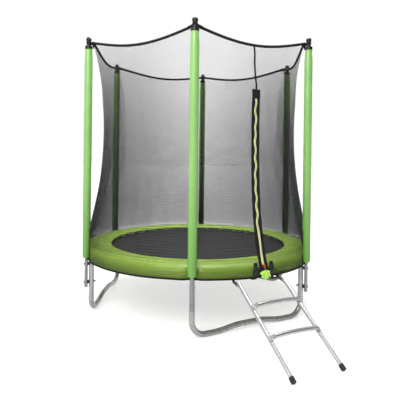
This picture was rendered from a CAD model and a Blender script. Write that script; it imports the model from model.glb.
"""Looks of a backyard trampoline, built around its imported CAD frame. Metres, +Z up, door toward -Y.

A bearing of 0 degrees points along -Y and turns toward +X, as in the CAD model.
"""
import bmesh
import bpy
import math
import numpy as np
from mathutils import Matrix, Vector, noise


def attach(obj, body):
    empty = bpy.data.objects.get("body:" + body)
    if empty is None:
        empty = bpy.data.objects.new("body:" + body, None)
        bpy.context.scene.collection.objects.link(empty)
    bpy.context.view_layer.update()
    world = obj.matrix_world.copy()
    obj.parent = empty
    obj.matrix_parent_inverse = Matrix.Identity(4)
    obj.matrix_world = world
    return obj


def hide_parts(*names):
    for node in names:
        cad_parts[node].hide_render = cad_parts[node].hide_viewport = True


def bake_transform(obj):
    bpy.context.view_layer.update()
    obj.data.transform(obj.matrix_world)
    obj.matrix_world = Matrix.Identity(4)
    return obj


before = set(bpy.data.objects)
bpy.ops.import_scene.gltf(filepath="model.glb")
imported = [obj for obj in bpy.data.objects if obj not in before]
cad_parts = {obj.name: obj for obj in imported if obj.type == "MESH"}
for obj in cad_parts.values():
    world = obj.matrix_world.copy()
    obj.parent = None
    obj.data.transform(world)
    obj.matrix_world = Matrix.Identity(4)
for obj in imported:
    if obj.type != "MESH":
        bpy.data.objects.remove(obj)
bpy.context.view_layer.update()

# ---- Driving sizes, as in the CAD model --------------------------------------
POLES = 6
BAY = 360 / POLES
HALF = BAY / 2
POLE_RADIUS = 0.936
SLEEVE_LOW, SLEEVE_HIGH = 0.412, 1.960
SLEEVE = 0.030
SQUEEZE_RADIUS = 0.9205
NET_FOOT, NET_FOOT_Z = 0.937, 0.450
NET_WAIST, NET_WAIST_Z = 0.778, 1.400
NET_LOW = 0.396
NET_CORNER, NET_CORNER_Z = 0.902, 2.007
NET_WAIST_CORNER, NET_WAIST_CORNER_Z = 0.804, 1.300
NET_PINCH = 0.9183
FOOT_PULLS = (0.0, 0.013, 0.004, 0.002, 0.004, 0.002)
HEM_CORNER = 2.009
HEM_SAGS = (0.071, 0.070, 0.060, 0.058, 0.062, 0.066)
HEM_SIZE = 0.0086
NET_SKIN = 0.0003
PAD_INNER = 0.717
SKIRT_LOW = 0.389
MAT_Z = 0.440
SPRINGS = 36
ZIP_LEAN, ZIP_LEAN_Z = math.radians(1.45), 0.580
ZIP_HALF = 0.033
SEAM = ZIP_HALF - 0.004
ZIP_TOP, ZIP_LOW = 1.580, 0.388
FLAP_TOP = 1.640
SLIDER_Z = 0.463
ARC_RISE, ARC_DEPTH = NET_WAIST_Z - NET_FOOT_Z, NET_FOOT - NET_WAIST
ARC = (ARC_RISE ** 2 + ARC_DEPTH ** 2) / (2 * ARC_DEPTH)
ARC_CENTRE = NET_WAIST + ARC
NET_STRAIGHT_Z = 1.6

# ---- Sizes of the looks ------------------------------------------------------
# A wave texture at scale 1 has its bands this far apart.
BAND_PITCH = 0.314
# The net is cut to the chord at this radius, between its foot and its top corners, and to this height.
# The radius at which the mesh pattern keeps its true size.
NET_PATTERN_RADIUS = 0.86
PAD_OUTER, PAD_PINCH = 0.9275, 0.9168
SLEEVE_SQUEEZE_TOP = 0.600
# Metal of the ladder nearer the Z axis than this has a black vinyl coat.
DIP_RADIUS = 0.966
# Brightness of the studio's backdrop as the camera sees it.
BACKDROP = 1.02
FOCAL_SHARE = 435 / 400
CAMERA_PLACE = (-1.7225, -3.2445, 1.1571)
CAMERA_HEADING = math.radians(28.128)
CAMERA_ROLL = 0.0122
CAMERA_SHIFT = -0.1036


# ---- Mesh helpers ------------------------------------------------------------
def polar(radius, bearing, z):
    """The point at a distance and bearing (degrees) from the Z axis."""
    turn = math.radians(bearing)
    return Vector((radius * math.sin(turn), -radius * math.cos(turn), z))


def smooth(low, high, value):
    """0 below low, 1 above high, and an S-curve between."""
    share = min(max((value - low) / (high - low), 0), 1)
    return share * share * (3 - 2 * share)


def add_mesh(name, points, faces, material, uvs=None, soft=True):
    """A new mesh object with one material, smooth shading and an optional UV for each point."""
    mesh = bpy.data.meshes.new(name)
    mesh.from_pydata([tuple(point) for point in points], [], faces)
    mesh.materials.append(material)
    mesh.polygons.foreach_set("use_smooth", [soft] * len(mesh.polygons))
    if uvs is not None:
        layer = mesh.uv_layers.new(name="UVMap")
        index = np.zeros(len(mesh.loops), np.int32)
        mesh.loops.foreach_get("vertex_index", index)
        layer.data.foreach_set("uv", np.array(uvs, np.float32)[index].ravel())
    mesh.update()
    piece = bpy.data.objects.new(name, mesh)
    bpy.context.scene.collection.objects.link(piece)
    return piece


def grid_faces(rows, columns, wrap=False):
    """Quads of a grid of points, row by row, closed across the columns when wrap is true."""
    faces = []
    for row in range(rows - 1):
        for column in range(columns if wrap else columns - 1):
            after = (column + 1) % columns
            faces.append((row * columns + column, row * columns + after,
                          (row + 1) * columns + after, (row + 1) * columns + column))
    return faces


def frames_along(path, closed=False):
    """A point, a side and an up direction at each point of a path, without sudden twists."""
    count = len(path)
    out, up = [], None
    for index, point in enumerate(path):
        before = path[index - 1] if index or closed else point
        after = path[(index + 1) % count] if index < count - 1 or closed else point
        along = (after - before).normalized()
        if up is None:
            up = Vector((0, 0, 1)) if abs(along.z) < 0.9 else Vector((0, 1, 0))
        up = (up - along * up.dot(along)).normalized()
        out.append((point, along.cross(up), up))
    return out


def section_along(name, path, outline, material, closed=False, scale=None):
    """A closed outline of (side, up) points carried along a path, with end caps."""
    points = []
    for index, (point, side, up) in enumerate(frames_along(path, closed)):
        size = scale(index / max(len(path) - 1, 1)) if scale else 1
        points += [point + side * (a * size) + up * (b * size) for a, b in outline]
    sides = len(outline)
    rows = len(path)
    faces = grid_faces(rows, sides, wrap=True)
    if closed:
        last = (rows - 1) * sides
        faces += [(last + k, last + (k + 1) % sides, (k + 1) % sides, k) for k in range(sides)]
    else:
        faces.append(tuple(range(sides))[::-1])
        faces.append(tuple((rows - 1) * sides + k for k in range(sides)))
    piece = add_mesh(name, points, faces, material)
    fix_normals(piece)
    return piece


def ring_outline(radius, sides, squash=1):
    """A round outline, flattened upward by squash."""
    return [(radius * math.cos(2 * math.pi * k / sides), radius * squash * math.sin(2 * math.pi * k / sides))
            for k in range(sides)]


def flat_outline(width, thickness):
    """A strap's outline with rounded edges."""
    half, deep, nip = width / 2, thickness / 2, min(width, thickness) * 0.3
    return [(half, -deep + nip), (half, deep - nip), (half - nip, deep), (-half + nip, deep),
            (-half, deep - nip), (-half, -deep + nip), (-half + nip, -deep), (half - nip, -deep)]


def curve_points(points, steps):
    """A smooth line through hand-placed points, with steps in each stretch."""
    points = [Vector(point) for point in points]
    ends = [points[0] * 2 - points[1], *points, points[-1] * 2 - points[-2]]
    out = []
    for a, b, c, d in zip(ends, ends[1:], ends[2:], ends[3:]):
        for step in range(steps):
            t = step / steps
            out.append(0.5 * ((2 * b) + (c - a) * t + (2 * a - 5 * b + 4 * c - d) * t * t
                              + (3 * b - a - 3 * c + d) * t ** 3))
    return [*out, points[-1]]


def lathe(name, profile, material, sides=48, centre=(0, 0, 0)):
    """A shape turned about an upright axis from (radius, height) points."""
    points = []
    for radius, height in profile:
        for k in range(sides):
            turn = 2 * math.pi * k / sides
            points.append(Vector(centre) + Vector((radius * math.cos(turn), radius * math.sin(turn), height)))
    piece = add_mesh(name, points, grid_faces(len(profile), sides, wrap=True), material)
    fix_normals(piece)
    return piece


def fix_normals(piece):
    """Turn every face of a closed mesh outward and weld points that coincide."""
    work = bmesh.new()
    work.from_mesh(piece.data)
    bmesh.ops.remove_doubles(work, verts=work.verts, dist=1e-6)
    bmesh.ops.recalc_face_normals(work, faces=work.faces)
    work.to_mesh(piece.data)
    work.free()
    return piece


def rounded_block(name, low, high, material, nip=0.0015, move=None):
    """A box with bevelled edges, placed by a matrix."""
    work = bmesh.new()
    bmesh.ops.create_cube(work, size=1)
    size = Vector(high) - Vector(low)
    middle = (Vector(high) + Vector(low)) / 2
    for corner in work.verts:
        corner.co = Vector(corner.co[k] * size[k] + middle[k] for k in range(3))
    bmesh.ops.bevel(work, geom=list(work.edges), offset=nip, segments=3, profile=0.6, affect="EDGES")
    mesh = bpy.data.meshes.new(name)
    work.to_mesh(mesh)
    work.free()
    if move is not None:
        mesh.transform(move)
    mesh.polygons.foreach_set("use_smooth", [True] * len(mesh.polygons))
    mesh.materials.append(material)
    piece = bpy.data.objects.new(name, mesh)
    bpy.context.scene.collection.objects.link(piece)
    return piece


def joined(name, pieces):
    """Several pieces as one object."""
    with bpy.context.temp_override(active_object=pieces[0], selected_editable_objects=pieces):
        bpy.ops.object.join()
    pieces[0].name = name
    return pieces[0]


def place(piece, body, slot, *nodes):
    """Ride on a body, take a slot and stand for CAD nodes."""
    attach(piece, body)
    if nodes:
        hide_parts(*nodes)
    return piece


# ---- Materials ---------------------------------------------------------------
class Nodes:
    """A small wrapper that adds and links the nodes of a material or of the world."""

    def __init__(self, name, library=None, shader="Principled BSDF"):
        """Start a material, or a block of another library such as the worlds, with its own shader."""
        library = bpy.data.materials if library is None else library
        self.owner = library.new(name)
        self.owner.use_nodes = True
        self.tree = self.owner.node_tree
        self.shader = self.tree.nodes[shader]

    def add(self, kind, links=None, **settings):
        """A node with its settings, and links or values for its sockets."""
        node = self.tree.nodes.new(kind)
        for key, value in settings.items():
            setattr(node, key, value)
        for key, value in (links or {}).items():
            socket = node.inputs[key]
            if isinstance(value, bpy.types.NodeSocket):
                self.tree.links.new(value, socket)
            else:
                socket.default_value = value
        return node

    def math(self, operation, first, second=0.0):
        """The result of one operation on two values."""
        return self.add("ShaderNodeMath", {0: first, 1: second}, operation=operation).outputs[0]

    def set(self, **sockets):
        """Set or link the shader's sockets; an underscore stands for a space."""
        for key, value in sockets.items():
            socket = self.shader.inputs[key.replace("_", " ")]
            if isinstance(value, bpy.types.NodeSocket):
                self.tree.links.new(value, socket)
            else:
                socket.default_value = value

    def place(self, scale=(1, 1, 1), use="Object"):
        """Coordinates on the object, or its UVs, stretched by a scale."""
        coords = self.add("ShaderNodeTexCoord").outputs[use]
        return self.add("ShaderNodeMapping", {"Vector": coords, "Scale": scale}).outputs[0]

    def noise(self, scale, detail=4, vector=None, rough=0.55):
        """Cloudy noise between 0 and 1."""
        links = {"Scale": scale, "Detail": detail, "Roughness": rough}
        links["Vector"] = vector if vector is not None else self.place()
        return self.add("ShaderNodeTexNoise", links).outputs["Fac"]

    def ramp(self, value, stops):
        """A colour read off a row of (position, colour) stops."""
        node = self.add("ShaderNodeValToRGB", {"Fac": value})
        while len(node.color_ramp.elements) < len(stops):
            node.color_ramp.elements.new(0.5)
        for element, (position, color) in zip(node.color_ramp.elements, stops):
            element.position = position
            element.color = (*color, 1) if len(color) == 3 else color
        return node.outputs["Color"]

    def mix(self, factor, first, second):
        """The first colour at factor 0 and the second at 1."""
        node = self.add("ShaderNodeMix", data_type="RGBA")
        for index, value in ((0, factor), (6, first), (7, second)):
            if isinstance(value, bpy.types.NodeSocket):
                self.tree.links.new(value, node.inputs[index])
            else:
                node.inputs[index].default_value = value
        return node.outputs[2]

    def span(self, value, low, high):
        """A value between 0 and 1, stretched to lie between low and high."""
        return self.add("ShaderNodeMapRange", {"Value": value, "To Min": low, "To Max": high}).outputs[0]

    def bump(self, height, strength=0.3, distance=0.001, normal=None):
        """A normal tilted by a height, on top of another normal if one is given."""
        links = {"Height": height, "Strength": strength, "Distance": distance}
        if normal is not None:
            links["Normal"] = normal
        return self.add("ShaderNodeBump", links).outputs[0]

    def bands(self, pitch, axis):
        """Soft bands a pitch apart along an axis of the object."""
        links = {"Vector": self.place(), "Scale": BAND_PITCH / pitch}
        return self.add("ShaderNodeTexWave", links, bands_direction=axis).outputs["Fac"]

    def out(self):
        """Distance from the Z axis."""
        parts = self.add("ShaderNodeSeparateXYZ", {"Vector": self.place()})
        x_squared = self.math("POWER", parts.outputs[0], 2.0)
        y_squared = self.math("POWER", parts.outputs[1], 2.0)
        return self.math("SQRT", self.math("ADD", x_squared, y_squared))


def tint(color, factor):
    """A colour made lighter or darker by a factor."""
    return tuple(min(part * factor, 1) for part in color)


def zinc(name, color, rough=(0.27, 0.37), metallic=0.85, dipped=None):
    """Zinc-coated tube: faint spangle, drawn lines and dull patches. Dipped is a distance from the Z axis
    inside which the metal has a black vinyl coat."""
    m = Nodes(name)
    patches = m.noise(26, 5)
    spangle = m.add("ShaderNodeTexVoronoi", {"Vector": m.place(), "Scale": 240}).outputs["Color"]
    flecks = m.add("ShaderNodeSeparateColor", {"Color": spangle}).outputs[0]
    mixed = m.math("ADD", m.math("MULTIPLY", patches, 0.94), m.math("MULTIPLY", flecks, 0.06))
    tone = m.ramp(mixed, [(0.25, tint(color, 0.90)), (0.5, color), (0.8, tint(color, 1.07))])
    if dipped:
        bare = m.math("GREATER_THAN", m.out(), dipped)
        tone = m.mix(bare, (0.010, 0.010, 0.010, 1), tone)
        m.set(Metallic=m.math("MULTIPLY", bare, metallic))
    else:
        m.set(Metallic=metallic)
    m.set(Base_Color=tone, Roughness=m.span(mixed, *rough))
    m.set(Normal=m.bump(m.noise(900, 3), 0.015, 0.0001, m.bump(flecks, 0.008, 0.0001)))
    return m.owner


def plastic(name, color, rough=(0.36, 0.55), grain=1400):
    """Moulded plastic or rubber with a fine grain and rubbed patches."""
    m = Nodes(name)
    rubbed = m.noise(60, 4)
    m.set(Base_Color=m.ramp(rubbed, [(0.3, tint(color, 0.8)), (0.7, tint(color, 1.5))]))
    m.set(Roughness=m.span(rubbed, *rough), Specular_IOR_Level=0.35)
    m.set(Normal=m.bump(m.noise(grain, 2), 0.18, 0.0003))
    return m.owner


def woven(name, color, pitch, rough=0.8, sheen=0.0, depth=0.5, vary=0.12):
    """Woven tape or cloth: two crossed sets of threads on object coordinates."""
    m = Nodes(name)
    base = m.noise(14, 4)
    shade = m.ramp(base, [(0.3, tint(color, 1 - vary)), (0.7, tint(color, 1 + vary))])
    along_x, along_z, along_y = (m.bands(pitch, axis) for axis in "XZY")
    threads = m.math("MAXIMUM", m.math("MULTIPLY", along_x, along_z), m.math("MULTIPLY", along_z, along_y))
    dark = m.mix(m.span(threads, 0.35, 0.0), shade, (*tint(color, 0.45), 1))
    m.set(Base_Color=dark, Roughness=rough, Sheen_Weight=sheen, Specular_IOR_Level=0.25)
    m.set(Normal=m.bump(threads, depth, pitch * 0.4))
    return m.owner


def coated_cover(name, color, shade, foot, fade, rough=(0.38, 0.55), weave=0.0022, coat=0.30):
    """PE- or PVC-coated cloth: a soft gloss over a faint basket weave and creases. Its lower end has the
    foot colour, which fades out between the two heights of fade."""
    m = Nodes(name)
    mottle = m.noise(9, 5)
    tone = m.ramp(mottle, [(0.28, shade), (0.5, color), (0.78, tint(color, 1.07))])
    height = m.add("ShaderNodeSeparateXYZ", {"Vector": m.place()}).outputs[2]
    clean = m.add("ShaderNodeMapRange", {"Value": height, "From Min": fade[0], "From Max": fade[1]})
    m.set(Base_Color=m.mix(clean.outputs[0], (*foot, 1), tone))
    fine = m.noise(70, 3)
    m.set(Roughness=m.span(fine, *rough), Coat_Weight=coat, Coat_Roughness=0.28)
    along_x, along_z, along_y = (m.bands(weave, axis) for axis in "XZY")
    cloth = m.math("ADD", m.math("MULTIPLY", along_x, along_z), m.math("MULTIPLY", along_z, along_y))
    creases = m.noise(38, 6, m.place((1, 1, 0.35)), 0.6)
    m.set(Normal=m.bump(cloth, 0.10, 0.0003, m.bump(creases, 0.28, 0.003)))
    return m.owner


def netting(name, color, cell=0.0048, foot=0.16, low=0.285, high=0.060):
    """Open knitted mesh cut out by alpha, on UVs in metres. The threads' share of the area is low part-way
    up and high near the hem, where the mesh is more open, and it shrinks to foot of that at the lower end."""
    m = Nodes(name)
    uv = m.add("ShaderNodeTexCoord").outputs["UV"]
    parts = m.add("ShaderNodeSeparateXYZ", {"Vector": uv})
    u, v = parts.outputs[0], parts.outputs[1]
    upper = m.add("ShaderNodeMapRange", {"Value": v, "From Min": 0.60, "From Max": 1.95,
                                         "To Min": low, "To Max": high})
    lower = m.add("ShaderNodeMapRange", {"Value": v, "From Min": 0.48, "From Max": 0.66,
                                         "To Min": foot, "To Max": 1.0})
    share = m.math("MINIMUM", upper.outputs[0], lower.outputs[0])
    courses = m.math("MULTIPLY", m.math("SINE", m.math("MULTIPLY", v, 2 * math.pi / 0.018)), 0.034)
    bands = m.math("SUBTRACT", m.noise(3.0, 3, m.place((1.0, 0.35, 1.0), "UV")), 0.5)
    uneven = m.math("ADD", m.math("MULTIPLY", bands, 0.07), courses)
    uneven = m.math("MULTIPLY", uneven, m.math("MULTIPLY", share, 5.0))
    thread = m.math("ADD", share, uneven)
    half = m.math("MULTIPLY", thread, 0.5)
    first = m.math("PINGPONG", m.math("DIVIDE", m.math("ADD", u, v), cell), 0.5)
    second = m.math("PINGPONG", m.math("DIVIDE", m.math("SUBTRACT", u, v), cell), 0.5)
    lattice = m.math("LESS_THAN", m.math("MINIMUM", first, second), half)
    tone = m.noise(5, 3)
    m.set(Base_Color=m.ramp(tone, [(0.3, tint(color, 0.8)), (0.7, tint(color, 1.3))]))
    m.set(Roughness=0.8, Specular_IOR_Level=0.2, Alpha=lattice)
    return m.owner


def mat_cloth(name):
    """Woven jumping fabric: flat tapes crossing each other, with a sewn ring near the rim."""
    m = Nodes(name)
    weave = m.math("MULTIPLY", m.bands(0.0024, "X"), m.bands(0.0024, "Y"))
    wear = m.noise(6, 5)
    base = m.ramp(wear, [(0.25, (0.016, 0.017, 0.016)), (0.75, (0.028, 0.029, 0.027))])
    ring = m.math("LESS_THAN", m.math("ABSOLUTE", m.math("SUBTRACT", m.out(), 0.676)), 0.0035)
    shade = m.mix(m.math("MULTIPLY", ring, 0.8), base, (0.006, 0.006, 0.006, 1))
    m.set(Base_Color=shade, Roughness=m.span(wear, 0.55, 0.75), Specular_IOR_Level=0.25)
    m.set(Normal=m.bump(weave, 0.4, 0.0006))
    return m.owner


def ribbon_cloth(name):
    """A soft ribbon, green with a yellow middle stripe and a fine rib."""
    m = Nodes(name)
    uv = m.add("ShaderNodeTexCoord").outputs["UV"]
    across = m.add("ShaderNodeSeparateXYZ", {"Vector": uv}).outputs[0]
    m.set(Base_Color=m.ramp(across, [(0.0, (0.16, 0.50, 0.05)), (0.36, (0.23, 0.60, 0.06)),
                                     (0.44, (0.80, 0.78, 0.05)), (0.56, (0.86, 0.80, 0.06)),
                                     (0.64, (0.23, 0.60, 0.06)), (1.0, (0.16, 0.50, 0.05))]))
    m.set(Roughness=0.6, Sheen_Weight=0.3)
    m.set(Normal=m.bump(m.noise(1500, 2), 0.3, 0.0003))
    return m.owner


GREEN = (0.180, 0.375, 0.095)
STEEL = zinc("zinc_tube", (0.30, 0.30, 0.305), (0.22, 0.32), 0.55)
POLE_STEEL = zinc("zinc_pole", (0.20, 0.20, 0.205))
LADDER_STEEL = zinc("zinc_ladder", (0.37, 0.37, 0.375), (0.26, 0.30), 0.75, DIP_RADIUS)
SPRING_STEEL = zinc("zinc_spring", (0.55, 0.56, 0.57), (0.22, 0.38))
BOLT_STEEL = zinc("zinc_bolt", (0.20, 0.20, 0.205), (0.35, 0.50))
BLACK = plastic("black_moulding", (0.0055, 0.0055, 0.006))
RUBBER = plastic("foot_rubber", (0.004, 0.004, 0.004), (0.60, 0.80), 900)
SLEEVE_COVER = coated_cover("sleeve_cover", GREEN, tint(GREEN, 0.90), (0.085, 0.245, 0.022), (0.38, 1.05))
PAD_COVER = coated_cover("pad_cover", (0.355, 0.56, 0.056), (0.30, 0.50, 0.048),
                         (0.165, 0.275, 0.026), (0.385, 0.452), coat=0.10)
NET = netting("net_mesh", (0.008, 0.008, 0.009))
NET_SIDE = netting("net_mesh_side", (0.008, 0.008, 0.009), high=0.092)
SIDE_BAYS = (1, 4)
TRIM = woven("black_tape", (0.007, 0.007, 0.008), 0.0012)
HEM = woven("hem_tape", (0.006, 0.006, 0.007), 0.0016)
PIPING = woven("yellow_piping", (1.0, 0.97, 0.46), 0.0012, 0.55, 0.0, 0.3, 0.05)
MAT_CLOTH = mat_cloth("mat_weave")
RIBBON = ribbon_cloth("ribbon")
SLIDER_PAINT = plastic("slider_paint", (0.42, 0.07, 0.03), (0.25, 0.4))


def repaint(material, *nodes):
    """Give carried-over CAD nodes a finished material."""
    for name in nodes:
        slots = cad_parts[name].material_slots
        for index in range(len(slots)):
            slots[index].material = material


# ---- Net ---------------------------------------------------------------------
def net_middle(z):
    """Distance of the net from the Z axis in a bay's middle."""
    if z <= NET_FOOT_Z:
        return NET_FOOT
    z = min(z, NET_STRAIGHT_Z)
    return ARC_CENTRE - math.sqrt(ARC ** 2 - (z - NET_WAIST_Z) ** 2)


def net_corner(z):
    """Distance of the net from the Z axis at a pole."""
    rise, depth = NET_CORNER_Z - NET_WAIST_CORNER_Z, NET_CORNER - NET_WAIST_CORNER
    bend = (rise ** 2 + depth ** 2) / (2 * depth)
    return min(NET_WAIST_CORNER + bend - math.sqrt(bend ** 2 - (z - NET_WAIST_CORNER_Z) ** 2), NET_PINCH)


def net_radius(z, angle, bay=0):
    """Distance of the net from the Z axis at an angle (degrees) from a bay's middle."""
    middle = net_middle(z)
    foot = middle - 0.006 * smooth(8, 22, abs(angle)) - FOOT_PULLS[bay] * (1 - smooth(20, 26, abs(angle)))
    low = foot + (NET_PINCH - foot) * smooth(26.3, 28.4, abs(angle))
    reach = 1 / math.cos(math.radians(HALF)) - 1
    stretch = (net_corner(z) / middle - 1) / reach
    high = middle * (1 + stretch * (1 / math.cos(math.radians(angle)) - 1))
    high -= FOOT_PULLS[bay] * (1 - smooth(0.50, 0.80, z))
    return low + (high - low) * smooth(NET_FOOT_Z, 0.54, z)


def net_folds(z, angle, seed):
    """Small gathers under the hem, slanting tension folds and slack near the foot."""
    span = math.cos(math.radians(angle * 90 / HALF)) ** 0.5 if abs(angle) < HALF else 0
    gathers = 0.0012 * math.sin(angle * 1.9 + seed) * smooth(1.75, 1.95, z)
    slack = 0.0022 * math.sin(angle * 0.8 + seed * 2 + z * 9)
    slack *= smooth(0.5, 0.7, z) * (1 - smooth(1.5, 1.9, z))
    pulls = 0.0022 * noise.noise(Vector((angle * 0.12 + seed, z * 1.6, seed)))
    return (gathers + slack + pulls) * span * smooth(NET_FOOT_Z, 0.56, z)


def hem_height(bay, angle):
    """Height of a bay's hem at an angle from its middle. Each bay sags a little differently."""
    share = math.sin(math.radians(angle)) / math.sin(math.radians(HALF))
    return HEM_CORNER - HEM_SAGS[bay] * (1 - share * share)


def hem_point(bay, angle):
    """A point of the hem's line."""
    z = hem_height(bay, angle)
    return polar(net_radius(z, angle) - 0.004 * smooth(26, 30, abs(angle)), bay * BAY + angle, z)


def net_panel(name, bay, low_angle, high_angle, nodes, door_side=0):
    """One bay's netting, from the hem down over the pad's skirt, as three skins a hair apart, which give
    its threads their depth."""
    columns, rows = 49, 90
    for skin in range(3):
        points, uvs = [], []
        for row in range(rows):
            for column in range(columns):
                across = column / (columns - 1)
                angle = low_angle + (high_angle - low_angle) * across
                low = NET_LOW - 0.003
                z = low + (hem_height(bay, angle) - 0.002 - low) * row / (rows - 1)
                if door_side < 0:
                    angle = low_angle + (door_edge(z, door_side) - low_angle) * across
                elif door_side > 0:
                    edge = door_edge(z, door_side)
                    angle = edge + (high_angle - edge) * across
                radius = net_radius(z, angle, bay) + net_folds(z, angle, bay * 1.7) - NET_SKIN * skin
                points.append(polar(radius, bay * BAY + angle, z))
                uvs.append((math.radians(angle) * NET_PATTERN_RADIUS, z))
        mesh = NET_SIDE if bay in SIDE_BAYS else NET
        piece = add_mesh(f"{name}_{'abc'[skin]}", points, grid_faces(rows, columns), mesh, uvs)
        place(piece, "frame", "netting", *nodes)


def zip_x(z):
    """Sideways place of the zip's middle at a height: it leans, bows a little and turns back to the hem."""
    return -0.007 + 0.033 * smooth(0.50, 1.35, z) - 0.021 * smooth(ZIP_TOP, 1.93, z)


def door_edge(z, side):
    """Angle of a door panel's edge beside the zip, flap or binding."""
    half = ZIP_HALF if z < FLAP_TOP else 0.007
    return math.degrees(math.asin((zip_x(z) + side * (half - 0.002)) / net_middle(z)))


def on_net(x, z, lift=0.0):
    """A point of the door bay at a sideways place and height, lifted outward off the net."""
    radius = net_middle(z)
    slope = 0 if z <= NET_FOOT_Z else (min(z, NET_STRAIGHT_Z) - NET_WAIST_Z) / ARC
    y = -math.sqrt(max(radius * radius - x * x * 0.35, 0))
    outward = Vector((0, -math.sqrt(1 - slope * slope), slope if z < NET_STRAIGHT_Z else 0))
    return Vector((x, y, z)) + outward * lift


def make_net():
    """All the netting, its hems and the ties at the caps."""
    for bay in range(1, POLES):
        net_panel(f"net_skin_{bay}", bay, -HALF, HALF, [f"net_wall_{bay}"])
    net_panel("net_skin_door_left", 0, -HALF, 0, ["net_door_left"], -1)
    net_panel("net_skin_door_right", 0, 0, HALF, ["net_door_right"], 1)
    steps = 24
    line = [hem_point(bay, -HALF + BAY * step / steps) for bay in range(POLES) for step in range(steps)]
    hem = section_along("top_hem", line, ring_outline(HEM_SIZE, 12, 1.15), HEM, closed=True)
    place(hem, "frame", "black_trim", "net_top_hem")
    low = []
    for bay in range(POLES):
        for step in range(60):
            angle = -HALF + BAY * step / 60
            radius = net_radius(NET_LOW, angle, bay) + 0.0004
            low.append(polar(radius, bay * BAY + angle, NET_LOW - 0.0045))
    band = section_along("bottom_hem", low, flat_outline(0.0022, 0.0115), HEM, closed=True)
    place(band, "frame", "black_trim", "net_bottom_hem")


def make_cap_ties():
    """A strap loop on each cap's neck, a hook plate and the gathered corner of the hem."""
    pieces = []
    for index in range(POLES):
        bearing = HALF + index * BAY
        centre = polar(POLE_RADIUS, bearing, 0)
        turn = Matrix.Translation(centre) @ Matrix.Rotation(math.radians(bearing), 4, "Z")
        loop = [(0.0148, 1.998), (0.0176, 1.999), (0.0184, 2.007), (0.0176, 2.014), (0.0148, 2.015),
                (0.0148, 1.998)]
        pieces.append(lathe("tie", loop, TRIM, 28, centre))
        low, high = (-0.010, 0.016, 1.994), (0.010, 0.034, 2.014)
        pieces.append(rounded_block("plate", low, high, TRIM, 0.003, turn))
        for side in (-1, 1):
            path = curve_points([(side * 0.004, 0.024, 2.006), (side * 0.020, 0.035, 2.004),
                                 (side * 0.048, 0.050, 1.997)], 5)
            path = [turn @ point for point in path]
            pieces.append(section_along("gather", path, ring_outline(0.0115, 12, 0.95), HEM,
                                        scale=lambda t: 1.1 - 0.45 * t))
        tail = [turn @ Vector((0.004, 0.030, 2.0)), turn @ Vector((0.006, 0.034, 1.985)),
                turn @ Vector((0.007, 0.033, 1.966))]
        pieces.append(section_along("tail", curve_points(tail, 4), flat_outline(0.010, 0.0016), TRIM))
    place(joined("cap_ties", pieces), "frame", "black_trim", "net_cap_ties")


# ---- Foam sleeves and caps ---------------------------------------------------
def make_sleeve(index):
    """A foam tube in a coated cover: tapered top, soft ripples, squeezed flat behind its foot."""
    sides, rows = 40, 110
    bearing = HALF + index * BAY
    turn = Matrix.Rotation(math.radians(bearing), 4, "Z")
    points = []
    bore = 0.0131
    profile = [(bore, SLEEVE_LOW + 0.004), (SLEEVE - 0.006, SLEEVE_LOW)]
    plain = SLEEVE_HIGH - SLEEVE_LOW - 0.004
    profile += [(None, SLEEVE_LOW + 0.002 + plain * row / rows) for row in range(rows + 1)]
    profile += [(SLEEVE - 0.007, SLEEVE_HIGH - 0.0004), (bore, SLEEVE_HIGH - 0.002)]
    for size, z in profile:
        for k in range(sides):
            spin = 2 * math.pi * k / sides
            radius = size
            if size is None:
                top = 0.0042 * smooth(SLEEVE_HIGH - 0.09, SLEEVE_HIGH, z)
                low = 0.0018 * (1 - smooth(SLEEVE_LOW, SLEEVE_LOW + 0.02, z))
                radius = SLEEVE - 0.0009 - top - low
                radius += 0.0007 * noise.noise(Vector((math.cos(spin) * 2, z * 14, index + math.sin(spin))))
                seam = math.exp(-((spin - 0.9) / 0.06) ** 2)
                radius -= 0.0011 * seam
            x, y = radius * math.cos(spin), radius * math.sin(spin)
            limit = POLE_RADIUS - math.sqrt(SQUEEZE_RADIUS ** 2 - x * x)
            squeeze = 1 - smooth(SLEEVE_SQUEEZE_TOP, 0.66, z)
            y = y + (min(y, limit) - y) * squeeze
            points.append(turn @ Vector((x, y - POLE_RADIUS, z)))
    faces = grid_faces(len(profile), sides, wrap=True)
    last = (len(profile) - 1) * sides
    faces += [(last + k, last + (k + 1) % sides, (k + 1) % sides, k) for k in range(sides)]
    piece = fix_normals(add_mesh(f"sleeve_{index + 1}", points, faces, SLEEVE_COVER))
    place(piece, "frame", "sleeve_foam", f"pole_sleeve_{index + 1}")


# ---- Frame pad ---------------------------------------------------------------
def pad_section():
    """The pad's upper and lower outlines: (share of the way out, height), from the inner lower edge round."""
    upper = [(0.0, 0.4535), (0.0, 0.462), (0.012, 0.4695), (0.045, 0.4738), (0.14, 0.4755), (0.30, 0.4765),
             (0.50, 0.4765), (0.66, 0.4755), (0.76, 0.4735), (0.85, 0.4685), (0.92, 0.459), (0.965, 0.446),
             (0.99, 0.430), (1.0, 0.412), (1.0, 0.400), (0.998, 0.393), (0.995, SKIRT_LOW)]
    lower = [(0.990, SKIRT_LOW), (0.993, 0.400), (0.993, 0.420), (0.975, 0.440), (0.93, 0.4500),
             (0.90, 0.4530), (0.5, 0.4525), (0.1, 0.4530)]
    return upper, lower


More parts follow.
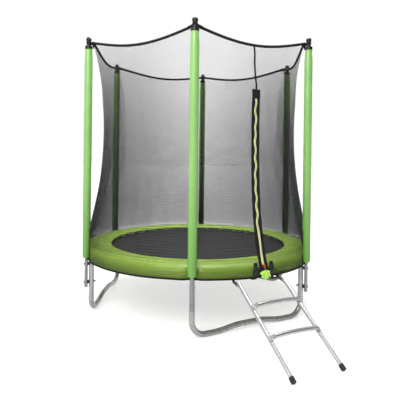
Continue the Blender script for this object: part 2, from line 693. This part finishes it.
def make_pad():
    """The sewn ring over the springs: padded lengths with sunken seams, a rippled skirt and a bound edge."""
    columns = 432
    outline, under = pad_section()
    points = []
    for share, z in outline + under:
        for column in range(columns):
            bearing = 360 * column / columns
            angle = (bearing + HALF) % BAY - HALF
            pinch = smooth(26.0, 28.6, abs(angle))
            bay = int((bearing + HALF) // BAY) % POLES
            outer = PAD_OUTER - 0.9 * FOOT_PULLS[bay] * (1 - smooth(20, 26, abs(angle)))
            outer += (PAD_PINCH - outer) * pinch
            radius = PAD_INNER + (outer - PAD_INNER) * share
            height = z
            if (share, z) in outline:
                near = abs(bearing % BAY - HALF)
                seam = math.exp(-(near / 0.45) ** 2)
                quilt = math.exp(-((abs(share - 0.5) - 0.36) / 0.04) ** 2)
                turn = math.radians(bearing)
                puff = noise.noise(Vector((math.cos(turn) * 9, math.sin(turn) * 9, share * 3)))
                if z > 0.47:
                    height += -0.0035 * seam - 0.0018 * quilt + 0.0012 * puff
                elif z < 0.455:
                    wave = math.sin(math.radians(bearing * 47))
                    wave += 0.6 * math.sin(math.radians(bearing * 29 + 40))
                    radius += (0.0010 * wave + 0.0012 * puff) * smooth(0.46, 0.40, z) * (1 - pinch)
                    height += 0.0012 * math.sin(math.radians(bearing * 13)) if z < 0.395 else 0
            points.append(polar(radius, bearing, height))
    rows = len(outline) + len(under)
    faces = grid_faces(rows, columns, wrap=True)
    last = (rows - 1) * columns
    faces += [(last + k, last + (k + 1) % columns, (k + 1) % columns, k) for k in range(columns)]
    pad = fix_normals(add_mesh("pad_ring", points, faces, PAD_COVER))
    place(pad, "frame", "pad_cover", "frame_pad")
    binding = [polar(PAD_INNER + 0.0006, 360 * k / 180, 0.4565) for k in range(180)]
    edge = section_along("pad_inner_binding", binding, flat_outline(0.0030, 0.008), TRIM, closed=True)
    place(edge, "frame", "black_trim")


# ---- Mat, V rings and springs ------------------------------------------------
def make_mat():
    """The jumping cloth and the webbing band with its loops, as thin rounded discs."""
    profile = [(0.0, 0.0014)]
    profile += [(0.70 * k / 40, 0.0014) for k in range(1, 41)]
    profile += [(0.719, 0.0015), (0.7192, -0.0015), (0.70, -0.0015)]
    profile += [(0.70 * k / 10, -0.0014) for k in range(9, -1, -1)]
    cloth = lathe("mat_cloth", [(r, MAT_Z + z) for r, z in profile], MAT_CLOTH, 144)
    place(cloth, "mat", "mat_weave", "jump_mat")
    band = [(0.7000, 0.0016), (0.7010, 0.0030), (0.7170, 0.0032), (0.7180, 0.0024), (0.7330, 0.0024),
            (0.7348, 0.0000), (0.7330, -0.0024), (0.7010, -0.0026), (0.7000, -0.0016), (0.7000, 0.0016)]
    pieces = [lathe("webbing", [(r, MAT_Z + z) for r, z in band], TRIM, 144)]
    for index in range(SPRINGS):
        bearing = (index + 0.5) * 360 / SPRINGS
        turn = Matrix.Rotation(math.radians(bearing), 4, "Z")
        loop = [turn @ Vector((0, y, MAT_Z + z)) for y, z in
                ((-0.718, 0.0034), (-0.733, 0.0036), (-0.7425, 0.0044), (-0.7478, 0.0000), (-0.7425, -0.0044),
                 (-0.733, -0.0036), (-0.718, -0.0034))]
        pieces.append(section_along("tab", curve_points(loop, 3), flat_outline(0.0012, 0.020), TRIM))
    place(joined("mat_webbing_band", pieces), "mat", "mat_webbing", "mat_webbing")
    rings = []
    for index in range(SPRINGS):
        turn = Matrix.Rotation(math.radians((index + 0.5) * 360 / SPRINGS), 4, "Z")
        corners = ((-0.0155, -0.7425), (0.0155, -0.7425), (0.0170, -0.7440), (0.0160, -0.7460),
                   (0.0035, -0.7608), (0.0, -0.7622), (-0.0035, -0.7608), (-0.0160, -0.7460),
                   (-0.0170, -0.7440))
        path = [turn @ Vector((x, y, MAT_Z)) for x, y in corners]
        rings.append(section_along("v", path, ring_outline(0.0019, 8), SPRING_STEEL, closed=True))
    place(joined("v_ring_wires", rings), "mat", "ring_wire", "v_rings")


def make_spring(index):
    """A close-wound spring: its hook in the ring, tapered end coils, turns and the hook on the V ring."""
    turn = Matrix.Rotation(math.radians((index + 0.5) * 360 / SPRINGS), 4, "Z")
    wire, turns, steps = 0.0015, 25, 14
    coil_in, coil_out = -0.776, -0.860
    inner_hook = ((-0.7615, 0.4347), (-0.7560, 0.4350), (-0.7545, 0.4385), (-0.7550, 0.4430),
                  (-0.7590, 0.4455), (-0.7660, 0.4455), (-0.7715, 0.4440))
    outer_hook = ((-0.8660, 0.4440), (-0.8730, 0.4472), (-0.8800, 0.4480), (-0.8840, 0.4440),
                  (-0.8890, 0.4345))
    path = [Vector((0, y, z)) for y, z in inner_hook]
    total = turns * steps
    for k in range(total + 1):
        share = k / total
        spin = 2 * math.pi * k / steps
        size = 0.0073 * min(1, 0.35 + share * 9, 0.35 + (1 - share) * 9)
        y = coil_in + (coil_out - coil_in) * share
        path.append(Vector((size * math.sin(spin), y, MAT_Z + size * math.cos(spin))))
    path += [Vector((0, y, z)) for y, z in outer_hook]
    path = [turn @ point for point in path]
    piece = section_along(f"spring_{index + 1}", path, ring_outline(wire, 6), SPRING_STEEL)
    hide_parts("springs")
    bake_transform(piece)


# ---- Door --------------------------------------------------------------------
def door_strip(name, width, thickness, low, high, lift, material, wave=0.0, steps=90, shift=0.0):
    """A tape that follows the door's line, with an optional sideways wave."""
    points = []
    cross = [-0.5, -0.46, -0.2, 0, 0.2, 0.46, 0.5]
    for step in range(steps + 1):
        z = low + (high - low) * step / steps
        sway = wave * (math.sin(z * 31) + 0.5 * math.sin(z * 57 + 1)) + shift
        middle = zip_x(z) + sway
        for part in cross:
            crown = 0.5 if abs(part) < 0.48 else 0.2
            points.append(on_net(middle + width * part, z, lift + thickness * crown))
        for part in cross[::-1]:
            points.append(on_net(middle + width * part, z, lift - thickness * 0.5))
    count = len(cross) * 2
    faces = grid_faces(steps + 1, count, wrap=True)
    faces += [tuple(range(count))[::-1], tuple(steps * count + k for k in range(count))]
    return fix_normals(add_mesh(name, points, faces, material))


def zip_sway(z):
    """The small waves that sewing puts into the zip's middle line."""
    return 0.0045 * math.sin(z * 58) * smooth(0.60, 0.80, z) + 0.0020 * math.sin(z * 23 + 0.6)


def make_door():
    """Zip tape with wavy piping and teeth, its top flap and the binding up to the hem."""
    width = 2 * ZIP_HALF
    tape = door_strip("zip_tape", width + 0.001, 0.0016, ZIP_LOW, ZIP_TOP + 0.006, 0.0004, TRIM, 0.0004)
    place(tape, "frame", "black_trim", "door_zip")
    for side, shift in (("left", -SEAM), ("right", SEAM)):
        seam = door_strip(f"zip_seam_{side}", 0.006, 0.0022, ZIP_LOW, ZIP_TOP, 0.0012, HEM, 0.0004,
                          shift=shift)
        place(seam, "frame", "black_trim")
    lines = []
    for side in (-1, 1):
        path = []
        for step in range(161):
            z = 0.468 + (ZIP_TOP - 0.475) * step / 160
            gap = 0.0040 + 0.0010 * math.sin(z * 40 + side)
            path.append(on_net(zip_x(z) + zip_sway(z) + side * gap, z, 0.0005))
        lines.append(section_along("line", path, ring_outline(0.0034, 8, 0.5), PIPING))
    place(joined("zip_piping", lines), "frame", "black_trim")
    teeth = [on_net(zip_x(z) + zip_sway(z), z, 0.0006) for z in np.linspace(ZIP_LOW, ZIP_TOP - 0.01, 150)]
    place(section_along("zip_teeth", teeth, flat_outline(0.0030, 0.0052), BLACK), "frame", "black_trim")
    flap = door_strip("zip_flap", width, 0.0030, ZIP_TOP + 0.002, FLAP_TOP - 0.002, 0.0012, HEM, 0.0, 14)
    place(flap, "frame", "black_trim", "door_flap")
    low, high = FLAP_TOP - 0.006, HEM_CORNER - HEM_SAGS[0]
    edge = door_strip("door_edge_binding", 0.013, 0.0034, low, high, 0.0002, TRIM, 0.0022, 60)
    place(edge, "frame", "black_trim", "door_binding")


def zip_matrix():
    """Where a shape drawn at the origin goes to sit on the zip at the slider."""
    tilt = Matrix.Rotation(math.asin((SLIDER_Z - NET_WAIST_Z) / ARC), 4, "X")
    seat = Matrix.Translation((0, -net_middle(SLIDER_Z), SLIDER_Z - ZIP_LEAN_Z))
    return Matrix.Translation((0, 0, ZIP_LEAN_Z)) @ Matrix.Rotation(ZIP_LEAN, 4, "Y") @ seat @ tilt


def make_slider():
    """Slider body, bridge and pull, and the knotted ribbon bow on it."""
    move = zip_matrix()
    parts = []
    for name, low, high, nip in (("back", (-0.0062, -0.0052, -0.011), (0.0062, -0.0026, 0.009), 0.0011),
                                 ("front", (-0.0050, -0.0082, -0.009), (0.0050, -0.0050, 0.007), 0.0014)):
        parts.append(rounded_block(name, low, high, SLIDER_PAINT, nip, move))
    bridge = [move @ Vector((0, y, z)) for y, z in
              ((-0.0075, 0.006), (-0.0102, 0.002), (-0.0100, -0.005), (-0.0075, -0.008))]
    parts.append(section_along("bridge", curve_points(bridge, 5), flat_outline(0.0016, 0.0034), SLIDER_PAINT))
    low, high = (-0.0038, -0.0102, -0.033), (0.0038, -0.0086, -0.004)
    parts.append(rounded_block("pull", low, high, SLIDER_PAINT, 0.0007, move))
    place(joined("slider_body", parts), "slider", "slider_metal", "zip_slider")
    leaves = []
    tails = ((-0.042, -0.022, 0.006), (-0.032, -0.044, -0.004), (-0.012, -0.054, 0.002),
             (0.008, -0.050, -0.003), (0.028, -0.018, 0.004), (0.028, -0.040, 0.001))
    for index, (x, z, curl) in enumerate(tails):
        spots = ((0, -0.0105, -0.035), (x * 0.35, -0.0150 - abs(curl) * 0.5, -0.037 + z * 0.25),
                 (x * 0.75, -0.0145 - curl * 0.4, -0.036 + z * 0.65), (x, -0.0112, -0.036 + z))
        path = [move @ Vector(spot) for spot in spots]
        leaves.append(ribbon_leaf(curve_points(path, 8), 0.019 if index % 2 else 0.024, move))
    bead = [(0.0002, -0.0065), (0.0042, -0.0055), (0.0062, -0.0015), (0.0058, 0.003), (0.003, 0.006),
            (0.0002, 0.0066)]
    knot = lathe("knot", bead, RIBBON, 16, (0, -0.0135, -0.037))
    knot.data.transform(move)
    leaves.append(knot)
    place(joined("ribbon_bow", leaves), "slider", "ribbon", "zip_tassel")


def ribbon_leaf(path, width, move):
    """A flat ribbon tail that widens, curls and shows its stripe."""
    points, uvs = [], []
    rows, columns = len(path), 7
    normal = (move.to_3x3() @ Vector((0, -1, 0))).normalized()
    for layer in (0, 1):
        for index, point in enumerate(path):
            share = index / (rows - 1)
            before, after = path[max(index - 1, 0)], path[min(index + 1, rows - 1)]
            side = (after - before).cross(normal).normalized()
            size = width * (0.35 + 0.65 * smooth(0, 0.6, share))
            for k in range(columns):
                across = k / (columns - 1) - 0.5
                cup = 0.0016 * math.cos(across * 2 * math.pi) * share
                points.append(point + side * (across * size) + normal * (cup + 0.0003 - 0.0008 * layer))
                uvs.append((across + 0.5, share))
    half = rows * columns
    front = grid_faces(rows, columns)
    faces = front + [tuple(half + k for k in face[::-1]) for face in front]
    rim = list(range(columns)) + [row * columns + columns - 1 for row in range(1, rows)]
    rim += [(rows - 1) * columns + k for k in range(columns - 2, -1, -1)]
    rim += [row * columns for row in range(rows - 2, 0, -1)]
    faces += [(a, half + a, half + b, b) for a, b in zip(rim, rim[1:] + rim[:1])]
    return add_mesh("leaf", points, faces, RIBBON, uvs)


def buckle_y(x):
    """Where the net's foot lies at a sideways place."""
    return -math.sqrt(NET_FOOT ** 2 - x ** 2)


def black_blocks(shift, *blocks):
    """Moulded blocks from (lowest corner, highest corner, rounding)."""
    return [rounded_block("moulding", low, high, BLACK, nip, shift) for low, high, nip in blocks]


def make_plug(name, x):
    """A buckle's upper half: a frame of two bars, two prongs with a guide between, and its webbing."""
    y = buckle_y(x)
    shift = Matrix.Translation((x, y, 0))
    plug = black_blocks(shift, ((-0.0175, -0.0118, 0.4425), (0.0175, -0.0036, 0.4520), 0.0022),
                        ((-0.0175, -0.0112, 0.4585), (0.0175, -0.0042, 0.4635), 0.0016))
    for side in (-1, 1):
        plug += black_blocks(shift, ((side * 0.0152 - 0.002, -0.0110, 0.4500),
                                     (side * 0.0152 + 0.002, -0.0045, 0.4600), 0.0012))
        prong = [Vector((x + side * 0.0075, y - 0.0075, z)) for z in (0.4440, 0.4360, 0.4280, 0.4180)]
        plug.append(section_along("prong", prong, flat_outline(0.0030, 0.0034), BLACK))
    guide = [Vector((x, y - 0.0075, z)) for z in (0.444, 0.419)]
    plug.append(section_along("guide", guide, flat_outline(0.0022, 0.0030), BLACK))
    web = ((-0.0044, 0.4880), (-0.0042, 0.4800), (-0.0060, 0.4690), (-0.0100, 0.4600),
           (-0.0080, 0.4545), (-0.0046, 0.4600), (-0.0030, 0.4720), (-0.0026, 0.4870))
    path = curve_points([(x, y + out, z) for out, z in web], 5)
    plug.append(section_along("webbing", path, flat_outline(0.0280, 0.0014), TRIM))
    place(joined(f"buckle_{name}", plug), f"buckle_{name}", "black_plastic", f"buckle_plug_{name}")


def socket_pieces(x):
    """A buckle's lower half: a flat shell with side walls, and the strap that runs under the frame."""
    y = buckle_y(x)
    shift = Matrix.Translation((x, y, 0))
    pieces = black_blocks(shift, ((-0.0180, -0.0122, 0.4070), (0.0180, -0.0098, 0.4398), 0.0011),
                          ((-0.0180, -0.0050, 0.4070), (0.0180, -0.0030, 0.4398), 0.0009))
    for side in (-1, 1):
        pieces += black_blocks(shift, ((side * 0.0162 - 0.0018, -0.0118, 0.4070),
                                       (side * 0.0162 + 0.0018, -0.0034, 0.4200), 0.0012))
    pieces += black_blocks(shift, ((-0.0180, -0.0115, 0.4050), (0.0180, -0.0035, 0.4110), 0.0016))
    tie = ((-0.0072, 0.4085), (-0.0052, 0.3980), (-0.0036, 0.3900), (-0.0026, 0.3830),
           (0.0020, 0.3790), (0.0100, 0.3765), (0.0280, 0.3740), (0.0440, 0.3730))
    path = curve_points([(x, y + out, z) for out, z in tie], 5)
    pieces.append(section_along("strap", path, flat_outline(0.0260, 0.0015), TRIM))
    return pieces


def make_buckles():
    """Two side-release buckles, and a loose strap end that hangs beside them."""
    sockets = []
    for name, x in (("left", -0.073), ("right", 0.052)):
        make_plug(name, x)
        sockets += socket_pieces(x)
    place(joined("buckle_lower_halves", sockets), "frame", "black_plastic", "buckle_sockets")
    loop = [polar(0.9405, 2.6, 0.402), polar(0.946, 3.6, 0.384), polar(0.946, 4.9, 0.374),
            polar(0.945, 6.4, 0.378), polar(0.9405, 7.6, 0.396)]
    strap = section_along("loose_strap", curve_points(loop, 8), flat_outline(0.0016, 0.013), TRIM)
    place(strap, "frame", "black_trim")


# ---- Camera, floor and light -------------------------------------------------
def make_camera():
    """The picture's viewpoint: level, a little rolled, with a small shift of the frame."""
    data = bpy.data.cameras.new("camera")
    data.sensor_width = 36
    data.lens = 36 * FOCAL_SHARE
    data.shift_y = CAMERA_SHIFT
    data.dof.use_dof = False
    camera = bpy.data.objects.new("camera", data)
    bpy.context.scene.collection.objects.link(camera)
    turn = Matrix.Rotation(-CAMERA_HEADING, 4, "Z") @ Matrix.Rotation(math.pi / 2, 4, "X")
    camera.matrix_world = Matrix.Translation(CAMERA_PLACE) @ turn @ Matrix.Rotation(CAMERA_ROLL, 4, "Z")
    bpy.context.scene.camera = camera


def make_floor():
    """A large pale floor that glows a little more far away, so that it meets the backdrop softly."""
    floor = Nodes("studio_floor")
    patches = floor.noise(0.6, 2)
    floor.set(Base_Color=floor.ramp(patches, [(0.3, (0.50, 0.50, 0.50)), (0.7, (0.52, 0.52, 0.52))]))
    away = floor.add("ShaderNodeVectorMath", {0: floor.place()}, operation="LENGTH").outputs["Value"]
    glow = floor.add("ShaderNodeMapRange", {"Value": away, "From Min": 3.0, "From Max": 12.0,
                                            "To Min": 0.64, "To Max": 0.78}).outputs[0]
    floor.set(Roughness=0.95, Specular_IOR_Level=0.0, Emission_Color=(1, 1, 1, 1), Emission_Strength=glow)
    size = 60
    corners = [(-size, -size, 0), (size, -size, 0), (size, size, 0), (-size, size, 0)]
    add_mesh("studio_floor", corners, [(0, 1, 2, 3)], floor.owner, soft=False)


def make_studio():
    """A studio that lights the object from one side, and a plain pale backdrop wherever the camera looks."""
    studio = Nodes("studio", bpy.data.worlds, "Background")
    heading = studio.add("ShaderNodeTexCoord").outputs["Generated"]
    toward = studio.add("ShaderNodeVectorMath", {0: heading, 1: (0.10, 0.95, 0.25)}, operation="DOT_PRODUCT")
    span = {"Value": toward.outputs["Value"], "From Min": -0.35, "From Max": 0.45,
            "To Min": 0.14, "To Max": 1.02}
    fade = studio.add("ShaderNodeMapRange", span, interpolation_type="SMOOTHSTEP")
    seen = studio.math("MULTIPLY", studio.add("ShaderNodeLightPath").outputs["Is Camera Ray"], BACKDROP)
    studio.set(Strength=studio.math("MAXIMUM", seen, fade.outputs[0]), Color=(1, 1, 1, 1))
    bpy.context.scene.world = studio.owner
    bpy.context.scene.view_settings.view_transform = "Standard"


def make_lamp(name, spot, power, size):
    """A soft square lamp that points at the middle of the object."""
    data = bpy.data.lights.new(name, "AREA")
    data.energy = power
    data.size = size
    lamp = bpy.data.objects.new(name, data)
    lamp.location = spot
    aim = Vector((0, 0, 0.8)) - Vector(spot)
    lamp.rotation_euler = aim.to_track_quat("-Z", "Y").to_euler()
    bpy.context.scene.collection.objects.link(lamp)


# ---- Putting it together -----------------------------------------------------
make_camera()
make_floor()
make_studio()
make_lamp("key", (-3.4, -3.0, 3.6), 220, 2.0)
make_lamp("top", (0.2, 0.0, 5.0), 420, 3.0)
for number in range(1, POLES + 1):
    repaint(STEEL, f"ring_rail_{number}")
    repaint(POLE_STEEL, f"pole_lower_{number}", f"pole_upper_{number}")
for number in range(1, 4):
    repaint(STEEL, f"w_leg_{number}")
repaint(BLACK, "pole_caps", "leg_spacers")
repaint(BOLT_STEEL, "leg_bolts", "leg_nuts", "ladder_bolts")
repaint(LADDER_STEEL, "ladder_rail_left", "ladder_rail_right", "ladder_step_lower", "ladder_step_upper")
repaint(RUBBER, "ladder_feet")
make_net()
make_cap_ties()
for number in range(POLES):
    make_sleeve(number)
make_pad()
make_mat()
for number in range(SPRINGS):
    make_spring(number)
make_door()
make_slider()
make_buckles()
